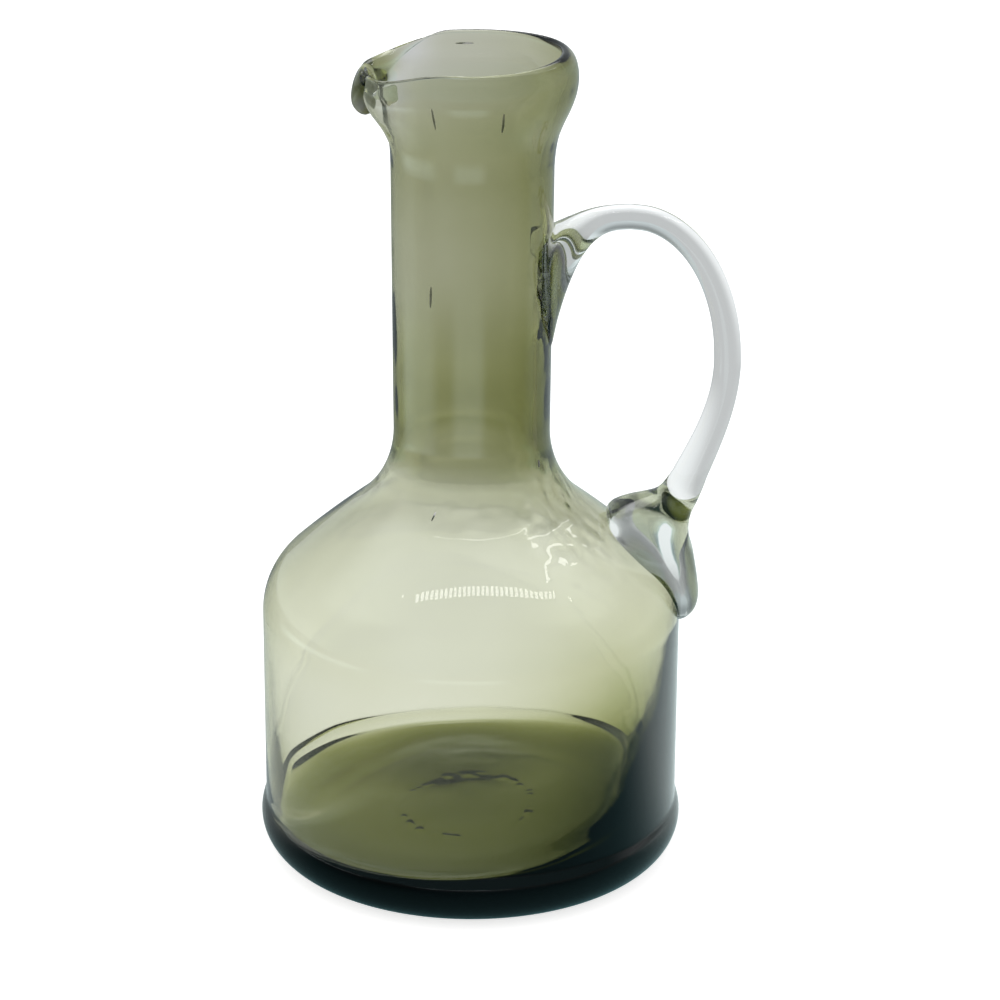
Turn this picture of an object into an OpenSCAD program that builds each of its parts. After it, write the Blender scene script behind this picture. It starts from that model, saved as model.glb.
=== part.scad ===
// Free-blown smoke glass water carafe with an applied clear glass handle.
// Origin: centre of the foot on the table. +Z up, handle toward +X, spout toward -X.

/* [Body] */
// Radius of the straight barrel
barrel_r = 62; // [52:0.1:74]
// Radius by which the foot stands out past the barrel
foot_out = 1.5; // [0.6:0.1:2.6]
// Radius of the rounded bottom corner
foot_corner_r = 11; // [8:0.5:13]
// Height at which the shoulder begins to turn in
shoulder_z = 75.9; // [68:0.5:82]
// Radius of the shoulder's turn
shoulder_r = 21.5; // [15:0.5:26]
// Radius of the neck where it leaves the shoulder
neck_low_r = 22.9; // [19:0.1:26]
// Radius of the neck below the mouth
neck_top_r = 23.4; // [19.5:0.1:26.5]
// Height of the neck's lower end
neck_z = 132.8; // [127:0.5:144]
// Radius of the hollow turn between shoulder and neck
neck_fillet_r = 30; // [22:1:36]

/* [Mouth] */
// Height at which the neck opens into the mouth
mouth_z = 212; // [200:1:224]
// Height of the mouth above the neck
mouth_h = 34; // [28:1:40]
// Widest radius of the mouth
mouth_r = 30; // [27.5:0.5:33]
// Distance from the axis to the tip of the spout
spout_reach = 34.4; // [33:0.2:38]
// Height of the curled lip of the spout
curl_h = 15; // [11:0.5:18]

/* [Walls] */
// Wall of the barrel
barrel_wall = 1.8; // [1.5:0.1:3.4]
// Wall of the neck
neck_wall = 3.1; // [2.4:0.1:4.2]
// Wall of the mouth on the handle side
lip_wall = 4.2; // [3.2:0.1:5]
// Wall of the mouth at front and back
lip_thin_wall = 2.3; // [1.8:0.1:3]
// Distance by which the hollow sits toward the spout
bore_shift = 0.75; // [0:0.05:1]
// Height of the inner floor on the axis
floor_z = 14; // [11:0.5:17]
// Distance by which the floor sits toward the spout
floor_shift = 1.5; // [0:0.1:3]
// Wall of the barrel where it meets the floor corner
heel_wall = 5; // [4:0.5:12]
// Radius of the inner floor corner
floor_corner_r = 5.5; // [4:0.5:9]
// Slope of the inner floor in degrees
floor_lean = 3; // [0:0.5:5]
// Direction in which the floor rises, in degrees from the handle
floor_lean_dir = 15; // [0:1:60]

/* [Underside] */
// Width of the flat ring on which the foot rests
rest_ring_w = 9.5; // [5:0.5:14]
// Depth of the kick
kick_depth = 2.5; // [1.5:0.1:3.5]
// Radius of the scar left by the pontil rod
pontil_r = 21; // [14:1:26]
// Depth of the pontil scar above the kick
pontil_depth = 0.5; // [0.3:0.1:0.8]

/* [Handle] */
// Thickness of the drawn rod at the top of the loop
rod_top_t = 7.3; // [6:0.1:9]
// Thickness of the rod at the outer side of the loop
rod_side_t = 7.9; // [6.5:0.1:9.5]
// Thickness of the rod where it meets the lower pad
rod_low_t = 10.4; // [8.5:0.1:12]
// Width of the rod over its thickness
rod_flatness = 1.12; // [1:0.02:1.3]
// Distance by which the loop stands out past the barrel
loop_out = 16.2; // [10:0.2:22]
// Height of the top of the loop
loop_top_z = 200.4; // [188:0.2:208]
// Distance from the axis to the loop's highest point
loop_top_x = 46.1; // [42:0.5:52]
// Height of the loop's outermost point
loop_side_z = 153.6; // [146:0.5:160]
// Height of the middle of the upper pad
pad_z = 175; // [168:0.5:182]
// Height of the upper pad on the neck
pad_h = 36; // [28:0.5:42]
// Width of the upper pad
pad_w = 25; // [18:0.5:30]
// Width of the lower pad
foot_pad_w = 27; // [20:0.5:34]

/* [Hidden] */

// Smoothness of the turned surfaces
$fn = 96;

// Overrun that lets each cut and each joined form pass through its neighbour
over = 1;
// Inset that keeps a joined form just inside the wall that it grows from
inset = 0.08;

// Facets round the mouth, the floor and the handle
mouth_sides = 64;
floor_sides = 64;
rod_sides = 24;

// Plain helpers
function mix(a, b, t) = a + (b - a) * t;
function ease_out(t) = 1 - pow(1 - t, 3);
function smooth(t) = let (c = min(1, max(0, t))) c * c * (3 - 2 * c);

// Faces between equal rings of points, taken in order, the last ring joined to the first
function ring_loop_faces(rings, sides) = [
    for (i = [0 : rings - 1]) for (k = [0 : sides - 1])
        let (a = i * sides, b = ((i + 1) % rings) * sides, n = (k + 1) % sides)
            each [[a + k, b + n, a + n], [a + k, b + k, b + n]]
];
// The same without the join between the last ring and the first
function ring_row_faces(rings, sides) = [
    for (i = [0 : rings - 2]) for (k = [0 : sides - 1])
        let (a = i * sides, b = (i + 1) * sides, n = (k + 1) % sides)
            each [[a + k, b + n, a + n], [a + k, b + k, b + n]]
];

// The blown body, outside and inside

// Point on a circle
function on_circle(centre, r, angle) = centre + r * [cos(angle), sin(angle)];
// Angle at which the straight cone touches the shoulder's turn and the neck's fillet
function cone_angle(c1, r1, c2, r2) =
    let (d = c2 - c1) atan2(d[1], d[0]) - acos(min(1, (r1 + r2) / norm(d)));

// Half section of a bottle form: a barrel, a round shoulder, a cone, a fillet and a neck
module bottle_section(side_r, turn_r, fillet_r, low_r, top_r, from_z, to_z) {
    turn_c = [side_r - turn_r, shoulder_z];
    fillet_c = [low_r + fillet_r, neck_z];
    a = cone_angle(turn_c, turn_r, fillet_c, fillet_r);
    cone_low = on_circle(turn_c, turn_r, a);
    cone_high = on_circle(fillet_c, -fillet_r, a);
    translate([0, from_z])
        square([side_r, shoulder_z - from_z]);
    intersection() {
        translate(turn_c)
            circle(r = turn_r);
        translate([turn_c[0], shoulder_z - over])
            square([turn_r + over, cone_low[1] - shoulder_z + over]);
    }
    polygon([
        [0, shoulder_z - over],
        [turn_c[0] + over, shoulder_z - over],
        cone_low,
        cone_high,
        [0, cone_high[1]]
    ]);
    difference() {
        polygon([
            [0, cone_high[1] - over],
            cone_high - [over, over],
            cone_high,
            [cone_high[0], neck_z],
            [0, neck_z]
        ]);
        translate(fillet_c)
            circle(r = fillet_r);
    }
    polygon([[0, neck_z - over], [low_r, neck_z], [top_r, to_z], [0, to_z]]);
}

// The foot: a round bead a little wider than the barrel, eased into it by a small hollow turn
foot_r = barrel_r + foot_out;
foot_c = [foot_r - foot_corner_r, foot_corner_r];
foot_ease_r = 4;
foot_ease_x = barrel_r + foot_ease_r;
foot_turns_r = foot_corner_r + foot_ease_r;
foot_ease_z = foot_corner_r + sqrt(pow(foot_turns_r, 2) - pow(foot_ease_x - foot_c[0], 2));
foot_touch = foot_c + (foot_corner_r / foot_turns_r) * ([foot_ease_x, foot_ease_z] - foot_c);
module foot_section() {
    square([foot_c[0], foot_ease_z]);
    translate([0, foot_corner_r])
        square([foot_c[0] + over, foot_ease_z - foot_corner_r]);
    intersection() {
        translate(foot_c)
            circle(r = foot_corner_r);
        translate([foot_c[0] - over, 0])
            square([foot_corner_r + 2 * over, foot_touch[1]]);
    }
    difference() {
        polygon([foot_c, foot_touch, [foot_touch[0], foot_ease_z], [0, foot_ease_z]]);
        translate([foot_ease_x, foot_ease_z])
            circle(r = foot_ease_r);
    }
}

// Outside of the body up to the mouth, as one turned solid
module body_outside() {
    rotate_extrude()
        union() {
            foot_section();
            bottle_section(
                barrel_r, shoulder_r, neck_fillet_r,
                neck_low_r, neck_top_r, foot_ease_z, mouth_z);
        }
}

// Hollow of the body from the middle of the barrel up through the neck
cavity_low_z = shoulder_z - over;
bore_top_r = neck_top_r - neck_wall;
module body_hollow() {
    translate([-bore_shift, 0, 0])
        rotate_extrude()
            bottle_section(
                barrel_r - barrel_wall, shoulder_r - barrel_wall, neck_fillet_r + neck_wall,
                neck_low_r - neck_wall, bore_top_r, cavity_low_z, mouth_z + over);
}

// Hollow of the barrel down to the floor. Its rings slide toward the spout and lean as they go
// down, because the gather cooled heavier on the handle side.
floor_wall_rings = 9;
floor_corner_rings = 6;
floor_inner_shares = [0.25, 0.5, 0.75];
floor_r = barrel_r - heel_wall;
floor_top_r = barrel_r - barrel_wall - inset;
floor_top_z = cavity_low_z + over;
// One ring: centre shift, centre height, radius and lean
function floor_ring(shift, z, r, lean) = [
    for (k = [0 : floor_sides - 1])
        let (a = k * 360 / floor_sides, along = cos(a - floor_lean_dir))
            [
                r * cos(a) - shift,
                r * sin(a),
                z + r * tan(lean) * along
            ]
];
module floor_hollow() {
    low_z = floor_z + floor_corner_r;
    middle = [
        for (s = floor_inner_shares)
            floor_ring(floor_shift, floor_z, s * (floor_r - floor_corner_r), floor_lean)
    ];
    corner = [
        for (i = [floor_corner_rings : -1 : 0])
            let (a = i * 90 / floor_corner_rings)
                floor_ring(
                    floor_shift, low_z - floor_corner_r * sin(a),
                    floor_r - floor_corner_r * (1 - cos(a)), floor_lean)
    ];
    wall = [
        for (i = [1 : floor_wall_rings])
            let (t = i / floor_wall_rings, e = ease_out(t))
                floor_ring(
                    mix(floor_shift, bore_shift, e), mix(low_z, floor_top_z, t),
                    mix(floor_r, floor_top_r, e), floor_lean * (1 - t) * (1 - t))
    ];
    rings = concat(middle, corner, wall);
    points = concat([for (r = rings) each r], [[-floor_shift, 0, floor_z]]);
    last = (len(rings) - 1) * floor_sides;
    bottom = [for (k = [0 : floor_sides - 1]) [k, (k + 1) % floor_sides, len(points) - 1]];
    top = [[for (k = [floor_sides - 1 : -1 : 0]) last + k]];
    polyhedron(points, concat(bottom, ring_row_faces(len(rings), floor_sides), top), convexity = 4);
}

// The kick and the pontil scar under the foot, as shallow round hollows
// Radius of the ball that leaves a hollow of this radius and depth
function cap_ball_r(r, depth) = (r * r + depth * depth) / (2 * depth);
kick_r = foot_c[0] - rest_ring_w;
kick_ball_r = cap_ball_r(kick_r, kick_depth);
kick_at_pontil = kick_depth - kick_ball_r + sqrt(kick_ball_r * kick_ball_r - pontil_r * pontil_r);
pontil_top = kick_depth + pontil_depth;
pontil_ball_r = cap_ball_r(pontil_r, pontil_top - kick_at_pontil);
module underside() {
    translate([0, 0, kick_depth - kick_ball_r])
        sphere(r = kick_ball_r);
    translate([0, 0, pontil_top - pontil_ball_r])
        sphere(r = pontil_ball_r);
}

// The mouth: a shell whose section goes up the outside, over the lip and down the inside.
// Away from the spout the section is the plain one. At the spout it is the folded one.
lip_flare = mouth_r - neck_top_r;
// Share of the mouth's height at which the lip begins to close
lip_top_share = 0.985;
lip_round_share = 0.9;
// Plain outside, as shares of the flare and of the mouth's height
plain_out_shares = [
    [0, 0], [0.05, 0.12], [0.16, 0.25], [0.34, 0.35], [0.55, 0.44], [0.75, 0.53],
    [0.91, 0.62], [0.99, 0.71], [1, 0.79], [0.94, 0.87], [0.8, 0.94], [0.62, lip_top_share]
];
// Plain inside from the lip down: share of the mouth's height, and share of the lip's wall
plain_in_shares = [
    [lip_top_share, 0.86], [0.95, 0.95], [0.88, 1], [0.79, 1], [0.7, 1], [0.6, 1], [0.5, 1],
    [0.4, 1], [0.3, 1], [0.2, 1], [0.1, 1], [0, 1]
];
// Share of the mouth's height over which the neck's wall turns into the lip's wall
wall_ease_share = 0.6;
// Folded outside, as shares of the spout's reach past the neck and of the fold's height
fold_out_shares = [
    [0.3, 0.07], [0.38, 0.01], [0.54, -0.03], [0.76, -0.01], [0.93, 0.08], [1, 0.22],
    [1, 0.42], [0.91, 0.66], [0.76, 0.86]
];
// Outside of the neck below the fold: share of the reach, and share of the height below the fold
fold_neck_shares = [[0, 0], [0.05, 0.45], [0.16, 0.82]];
// Folded inside, as the first shares, from the lip down
fold_in_shares = [
    [0.42, 0.97], [0.24, 0.9], [0.1, 0.72], [0.02, 0.5], [-0.04, 0.25], [-0.09, 0]
];
// Inside of the neck below the fold, as shares of the height below it, and how far it opens
fold_bore_shares = [0.75, 0.55, 0.38, 0.22, 0.1, 0];
fold_bore_open_share = 0.1;
// Where the fold begins, as a share of the mouth's height
fold_from_share = 0.44;
fold_z = mouth_z + mouth_h * fold_from_share;
spout_run = spout_reach - neck_top_r;
// Widening of the mouth toward the spout, and sinking of its rim there
beak_widen = 3.9;
beak_drop = 2.2;
// The widening starts at this share of the mouth's height and is done over this share more
beak_from_share = 0.42;
beak_over_share = 0.4;
// Rise of the rim toward the handle
rim_lift = 1.4;
rim_lift_power = 6;
// Degrees from the tip of the spout: the full beak and its fading, the full fold and its fading
beak_full = 38;
beak_fade = 50;
fold_full = 12;
fold_fade = 36;
// The fold grows shorter from below by this share at this many degrees from the tip
fold_short_share = 0.6;
fold_short_at = 30;
fold_least_share = 0.3;

function from_spout(a) = abs(180 - a);
function beak(a) = 1 - smooth((from_spout(a) - beak_full) / beak_fade);
function folded(a) = 1 - smooth((from_spout(a) - fold_full) / fold_fade);
function lip_wall_at(a) = mix(lip_thin_wall, lip_wall, pow((1 + cos(a)) / 2, 2));
function bore_at(a) = bore_top_r - bore_shift * cos(a);
function plain_top(a) =
    mouth_h - rim_lift * (1 - pow(max(0, cos(a)), rim_lift_power)) - beak_drop * beak(a);
function plain_out(a, s) =
    let (wide = beak_widen * beak(a) * smooth((s[1] - beak_from_share) / beak_over_share))
        [neck_top_r + s[0] * lip_flare + wide, mouth_z + s[1] * plain_top(a)];
function plain_out_r(a, h) = plain_out(a, [lookup(h, [for (s = plain_out_shares) [s[1], s[0]]]), h])[0];
function plain_in(a, s) =
    let (
        wall = mix(neck_top_r - bore_at(a), lip_wall_at(a), smooth(s[0] / wall_ease_share)),
        lip = s[0] > lip_round_share ? s[1] : 1
    )
        [plain_out_r(a, min(s[0], lip_top_share)) - wall * lip, mouth_z + s[0] * plain_top(a)];
function plain_section(a) = concat(
    [for (s = plain_out_shares) plain_out(a, s)],
    [for (s = plain_in_shares) plain_in(a, s)]
);
function fold_h(a) =
    curl_h * max(fold_least_share, 1 - fold_short_share * pow(from_spout(a) / fold_short_at, 2));
function fold_low(a) = fold_z + curl_h - fold_h(a);
function fold_point(a, s) = [neck_top_r + s[0] * spout_run, fold_low(a) + s[1] * fold_h(a)];
function fold_neck(a, s) = [neck_top_r + s[0] * spout_run, mix(mouth_z, fold_low(a), s[1])];
function fold_bore(a, s) =
    [bore_at(a) + s * s * spout_run * fold_bore_open_share, mix(mouth_z, fold_low(a), s)];
function fold_section(a) = concat(
    [for (s = fold_neck_shares) fold_neck(a, s)],
    [for (s = fold_out_shares) fold_point(a, s)],
    [for (s = fold_in_shares) fold_point(a, s)],
    [for (s = fold_bore_shares) fold_bore(a, s)]
);
// Full section at an angle. Its two feet stand inside the neck's wall and reach down into it.
function mouth_section(a) =
    let (
        plain = plain_section(a),
        fold = fold_section(a),
        last = len(plain) - 1,
        form = [for (i = [0 : last]) mix(plain[i], fold[i], folded(a))],
        outer = form[0] - [inset, 0],
        inner = form[last] + [inset, 0]
    )
        concat(
            [outer - [0, over], outer],
            [for (i = [1 : last - 1]) form[i]],
            [inner, inner - [0, over]]
        );
module mouth() {
    angles = [for (k = [0 : mouth_sides - 1]) k * 360 / mouth_sides];
    sections = [for (a = angles) mouth_section(a)];
    rings = [
        for (i = [0 : len(sections[0]) - 1]) [
            for (k = [0 : mouth_sides - 1])
                let (p = sections[k][i], a = angles[k])
                    [p[0] * cos(a), p[0] * sin(a), p[1]]
        ]
    ];
    polyhedron([for (r = rings) each r], ring_loop_faces(len(rings), mouth_sides), convexity = 6);
}

module glass_body() {
    color([0.44, 0.47, 0.36, 0.6])
        union() {
            difference() {
                body_outside();
                body_hollow();
                floor_hollow();
                underside();
            }
            mouth();
        }
}

// The handle: a gather pressed on the shoulder, drawn up in a loop and pressed on the neck

// Middle line and half thickness of the loop
loop_side_x = barrel_r + loop_out - rod_side_t / 2;
loop_top = [loop_top_x, loop_top_z - rod_top_t / 2];
loop_side = [loop_side_x, loop_side_z];
// Upper root: from inside the neck wall to the top of the loop. The pad keeps its full size
// until it stands clear of the neck.
root_inside_x = neck_low_r - neck_wall;
root_start_share = 0.1;
root_start_x = neck_low_r - root_start_share * neck_wall;
root_stations = 11;
root_rise_power = 3;
root_fade_power = 3.3;
root_egg_share = 0.5;
function root_station(t) =
    let (fade = pow(1 - t, root_fade_power))
        [
            mix(root_start_x, loop_top[0], t),
            mix(pad_z, loop_top[1], 1 - pow(1 - t, root_rise_power)),
            mix(rod_top_t / 2, pad_h / 2, fade),
            mix(rod_flatness * rod_top_t / 2, pad_w / 2, fade),
            90,
            root_egg_share * fade
        ];
root_inside = [root_inside_x, pad_z, pad_h / 2, pad_w / 2, 90, root_egg_share];
// A quarter of the loop between the top and the side
loop_stations = 9;
function upper_station(a) = [
    loop_top[0] + (loop_side[0] - loop_top[0]) * cos(a),
    loop_side[1] + (loop_top[1] - loop_side[1]) * sin(a),
    mix(rod_side_t, rod_top_t, sin(a)) / 2,
    rod_flatness * mix(rod_side_t, rod_top_t, sin(a)) / 2,
    atan2((loop_side[0] - loop_top[0]) * sin(a), (loop_top[1] - loop_side[1]) * cos(a)),
    0
];
// Lower pad: outer and inner ends of each section, from the shoulder's centre, and its half width
pad_shares = [
    [1.29, 1.8, 0.81, 1.94, 0.43], [1.21, 1.6, 0.66, 1.75, 0.47], [1.14, 1.46, 0.45, 1.66, 0.57],
    [1.105, 1.33, 0.2, 1.58, 0.7], [1.1, 1.2, -0.02, 1.44, 0.83], [1.12, 1.05, 0, 1.18, 0.94],
    [1.17, 0.87, 0.1, 0.92, 1], [1.21, 0.66, 0.24, 0.62, 1], [1.24, 0.47, 0.38, 0.38, 0.95],
    [1.256, 0.3, 0.52, 0.2, 0.86], [1.235, 0.14, 0.62, 0.06, 0.72], [1.17, 0.01, 0.7, -0.03, 0.55],
    [1.09, -0.08, 0.8, -0.1, 0.36], [1.015, -0.13, 0.9, -0.14, 0.15]
];
pad_origin = [barrel_r - shoulder_r, shoulder_z];
function pad_station(s) =
    let (
        outer = pad_origin + shoulder_r * [s[0], s[1]],
        inner = pad_origin + shoulder_r * [s[2], s[3]],
        d = outer - inner
    )
        [
            (outer[0] + inner[0]) / 2, (outer[1] + inner[1]) / 2, norm(d) / 2,
            s[4] * foot_pad_w / 2, atan2(d[1], d[0]), 0
        ];
// The loop's lower part: a curve that leaves its side straight down and enters the pad along the rod
pad_entry = pad_station(pad_shares[0]);
lower_stations = 11;
lower_pull_share = 0.36;
// Degrees by which the rod bends over as it leaves the pad
entry_bend = 8;
entry_dir = [sin(pad_entry[4] - entry_bend), -cos(pad_entry[4] - entry_bend)];
lower_pull = lower_pull_share * (loop_side[1] - pad_entry[1]);
function curve_at(p, t) =
    pow(1 - t, 3) * p[0] + 3 * t * pow(1 - t, 2) * p[1] + 3 * t * t * (1 - t) * p[2] + pow(t, 3) * p[3];
function curve_dir(p, t) =
    pow(1 - t, 2) * (p[1] - p[0]) + 2 * t * (1 - t) * (p[2] - p[1]) + t * t * (p[3] - p[2]);
lower_curve = [
    loop_side, loop_side - [0, lower_pull],
    [pad_entry[0], pad_entry[1]] - lower_pull * entry_dir, [pad_entry[0], pad_entry[1]]
];
function lower_station(t) =
    let (
        p = curve_at(lower_curve, t),
        d = curve_dir(lower_curve, t),
        half = mix(rod_side_t, rod_low_t, t * t) / 2
    )
        [p[0], p[1], half, rod_flatness * half, atan2(d[0], -d[1]), 0];

// One oval section across the rod. A station holds x, z, half thickness, half width, tilt and egg.
function rod_ring(s) = [
    for (k = [0 : rod_sides - 1])
        let (a = k * 360 / rod_sides, u = s[2] * sin(a), w = s[3] * cos(a) * (1 + s[5] * sin(a)))
            [s[0] + u * cos(s[4]), w, s[1] + u * sin(s[4])]
];
module handle_form() {
    stations = concat(
        [root_inside],
        [for (i = [0 : root_stations - 1]) root_station(i / root_stations)],
        [for (i = [0 : loop_stations - 1]) upper_station(90 - i * 90 / loop_stations)],
        [for (i = [0 : lower_stations - 1]) lower_station(i / lower_stations)],
        [for (s = pad_shares) pad_station(s)]
    );
    points = [for (s = stations) each rod_ring(s)];
    last = (len(stations) - 1) * rod_sides;
    start = [[for (k = [0 : rod_sides - 1]) k]];
    end = [[for (k = [rod_sides - 1 : -1 : 0]) last + k]];
    polyhedron(points, concat(start, ring_row_faces(len(stations), rod_sides), end), convexity = 6);
}

module glass_handle() {
    color([0.86, 0.88, 0.87, 0.5])
        difference() {
            handle_form();
            body_outside();
        }
}

glass_body();
glass_handle();
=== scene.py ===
import math
import bmesh
import bpy
from mathutils import Matrix, noise


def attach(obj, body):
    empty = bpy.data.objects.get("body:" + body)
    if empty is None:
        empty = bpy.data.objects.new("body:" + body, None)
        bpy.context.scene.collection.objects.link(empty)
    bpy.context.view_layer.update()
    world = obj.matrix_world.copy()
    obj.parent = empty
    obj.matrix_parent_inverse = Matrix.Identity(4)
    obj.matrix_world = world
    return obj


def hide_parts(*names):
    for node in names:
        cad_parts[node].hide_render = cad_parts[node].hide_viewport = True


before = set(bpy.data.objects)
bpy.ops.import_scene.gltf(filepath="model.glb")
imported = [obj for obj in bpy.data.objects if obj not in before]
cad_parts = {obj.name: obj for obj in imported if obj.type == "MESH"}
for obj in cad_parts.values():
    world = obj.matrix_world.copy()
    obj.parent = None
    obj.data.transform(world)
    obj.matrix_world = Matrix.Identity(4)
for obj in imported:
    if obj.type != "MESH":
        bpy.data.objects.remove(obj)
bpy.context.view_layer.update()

# ---- Blown body
# One gather of smoke glass, blown and tooled free: a heavy foot, a wide thin barrel, a straight neck
# and a flared mouth whose lip is folded down at the spout. Its section is turned round the axis, and
# the small drifts of hand work are added as rules: shifted bore, leaning floor, heavy handle side.
MM = 0.001
barrel_r, foot_out, foot_corner_r, foot_ease_r = 62.0, 1.46, 11.0, 4.0
shoulder_z, shoulder_r = 75.9, 21.5
neck_low_r, neck_top_r, neck_z, neck_fillet_r = 22.9, 23.4, 132.8, 30.0
mouth_z, mouth_h, mouth_r = 212.0, 33.82, 30.0
neck_wall, throat_wall, lip_wall = 2.4, 2.1, 1.3
kick_r, kick_depth, pontil_r, pontil_depth = 43.0, 2.5, 21.0, 0.5
# The cone of the shoulder swells a little, and its two arcs stop this many degrees short of it
cone_swell, cone_swell_turn, cone_rows = 0.295, 2.5, 12


def mix(a, b, t):
    return a + (b - a) * t


def smooth(t):
    t = min(1.0, max(0.0, t))
    return t * t * (3 - 2 * t)


def metres(*lengths):
    """Lengths in millimetres, as the tree takes them."""
    return tuple(length * MM for length in lengths)


def arc(centre, r, start, end, count):
    """Points along an arc in the half section, angles in degrees."""
    turn = [math.radians(mix(start, end, i / count)) for i in range(count + 1)]
    return [(centre[0] + r * math.cos(t), centre[1] + r * math.sin(t)) for t in turn]


def line(start, end, count):
    return [(mix(start[0], end[0], i / count), mix(start[1], end[1], i / count)) for i in range(count + 1)]


def flow(points, count):
    """A smooth run through given points, count steps between two of them."""
    ends = [tuple(2 * a - b for a, b in zip(points[0], points[1]))] + list(points)
    ends.append(tuple(2 * a - b for a, b in zip(points[-1], points[-2])))
    run = []
    for p, q, r, s in zip(ends, ends[1:], ends[2:], ends[3:]):
        for i in range(count):
            t = i / count
            run.append(tuple(
                0.5 * (2 * b + (c - a) * t + (2 * a - 5 * b + 4 * c - d) * t * t
                       + (3 * b - a - 3 * c + d) * t ** 3)
                for a, b, c, d in zip(p, q, r, s)))
    return run + [tuple(points[-1])]


def joined(*runs):
    """Runs set end to end, without the doubled point where two meet."""
    whole = list(runs[0])
    for run in runs[1:]:
        whole += run[1:] if math.dist(whole[-1], run[0]) < 1e-6 else run
    return whole


# Underside, foot, barrel, shoulder and neck, from the axis outward and up
kick_ball = (kick_r ** 2 + kick_depth ** 2) / (2 * kick_depth)


def kick_at(r):
    """Height of the kick above the table at this radius."""
    return kick_depth - kick_ball + math.sqrt(kick_ball ** 2 - r * r)


pontil_rows, kick_rows = 24, 26
pontil_edge_z = kick_at(pontil_r)
pontil_rise = kick_depth + pontil_depth - pontil_edge_z
underside = [(pontil_r * i / pontil_rows, pontil_edge_z + pontil_rise * (1 - (i / pontil_rows) ** 2))
             for i in range(pontil_rows + 1)]
underside += [(r, kick_at(r)) for r in (mix(pontil_r, kick_r, i / kick_rows) for i in range(1, kick_rows + 1))]
foot_c = (barrel_r + foot_out - foot_corner_r, foot_corner_r)
ease_x = barrel_r + foot_ease_r
ease_z = foot_corner_r + math.sqrt((foot_corner_r + foot_ease_r) ** 2 - (ease_x - foot_c[0]) ** 2)
ease_turn = math.degrees(math.atan2(ease_z - foot_c[1], ease_x - foot_c[0]))
shoulder_c, fillet_c = (barrel_r - shoulder_r, shoulder_z), (neck_low_r + neck_fillet_r, neck_z)
cone_turn = math.degrees(math.atan2(fillet_c[1] - shoulder_c[1], fillet_c[0] - shoulder_c[0])
                         - math.acos((shoulder_r + neck_fillet_r) / math.dist(shoulder_c, fillet_c)))
shoulder = arc(shoulder_c, shoulder_r, 0, cone_turn - cone_swell_turn, 36)
fillet = arc(fillet_c, neck_fillet_r, 180 + cone_turn + cone_swell_turn, 180, 28)
cone = []
for i, (r, z) in enumerate(line(shoulder[-1], fillet[0], cone_rows)):
    out = 4 * cone_swell * i / cone_rows * (1 - i / cone_rows)
    cone.append((r + math.cos(math.radians(cone_turn)) * out, z + math.sin(math.radians(cone_turn)) * out))
outside = joined(
    underside,
    line((kick_r, 0), (foot_c[0], 0), 6),
    arc(foot_c, foot_corner_r, -90, ease_turn, 26),
    arc((ease_x, ease_z), foot_ease_r, 180 + ease_turn, 180, 6),
    line((barrel_r, ease_z), (barrel_r, shoulder_z), 10),
    shoulder,
    cone,
    fillet,
    line((neck_low_r, neck_z), (neck_top_r, mouth_z), 36),
)
# The wall that the blowing left, as height and thickness from the shoulder up to the mouth
neck_walls = [(75, 0.95), (108, 0.95), (117, 1.2), (121, 1.5), (129.5, 3.4), (134, 3.7), (150, 3.1), (176, 1.9),
              (190, 1.9), (203, 2.2), (mouth_z, neck_wall)]


def wall(z):
    for (z0, w0), (z1, w1) in zip(neck_walls, neck_walls[1:]):
        if z <= z1:
            return mix(w0, w1, smooth((z - z0) / (z1 - z0)))
    return neck_wall


def inward(points):
    """The points moved in, square to the surface, by the wall at their height."""
    moved = []
    for i, (r, z) in enumerate(points):
        a, b = points[max(0, i - 1)], points[min(len(points) - 1, i + 1)]
        size = math.dist(a, b)
        moved.append((r - wall(z) * (b[1] - a[1]) / size, z + wall(z) * (b[0] - a[0]) / size))
    return moved


# Inside of the barrel down to the floor, on the sides, toward the spout, and toward the handle, where
# the gather cooled heavy
neck_inside = list(reversed(inward([p for p in outside if p[1] >= shoulder_z])))
barrel_inside = {
    "inside_side": [
        (61.2, 66), (61.2, 54), (61.2, 43), (61.2, 32), (61.2, 22), (61.2, 18.4), (61.35, 16.2), (61.8, 14.7),
        (61.95, 13.6), (61.3, 12.9), (56, 12.3), (48, 11.5), (38, 11.4), (26, 12.4), (13, 14), (0, 14.9)],
    "inside_spout": [
        (61.2, 66), (61.2, 54), (61.2, 44), (61.1, 37), (60.8, 30), (60.3, 24), (59.7, 19), (59.1, 15.6),
        (58.4, 13.9), (57, 13.2), (52, 12.2), (45, 11.4), (37, 11.4), (26, 12.4), (13, 14), (0, 14.9)],
    "inside_handle": [
        (60.5, 66), (59.7, 54), (58.4, 44), (57, 37.5), (55.8, 32.5), (54.7, 29), (53.6, 26), (52.4, 23.4),
        (50.8, 21.5), (48.8, 19.3), (45.8, 17), (40, 14.8), (32, 13.6), (21, 13.4), (10, 14.2), (0, 14.9)],
}
insides = {name: neck_inside[:-1] + flow([neck_inside[-1]] + rows, 5) for name, rows in barrel_inside.items()}

# The mouth's plain lip flares out to its rim, in shares of the flare's width and height
plain_out = [(0, 0), (0.05, 0.12), (0.16, 0.25), (0.34, 0.35), (0.55, 0.44), (0.75, 0.53),
             (0.91, 0.62), (0.99, 0.71), (1, 0.79), (0.94, 0.87), (0.86, 0.9)]
plain_in = [0.88, 0.79, 0.7, 0.6, 0.5, 0.4, 0.3, 0.2, 0.1, 0]
rim_turn, rim_inset, rim_low = 24, 0.55, 1.4
widen_from, widen_over = 0.42, 0.4
throat_over, thin_from, thin_over = 0.6, 0.4, 0.5


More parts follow.
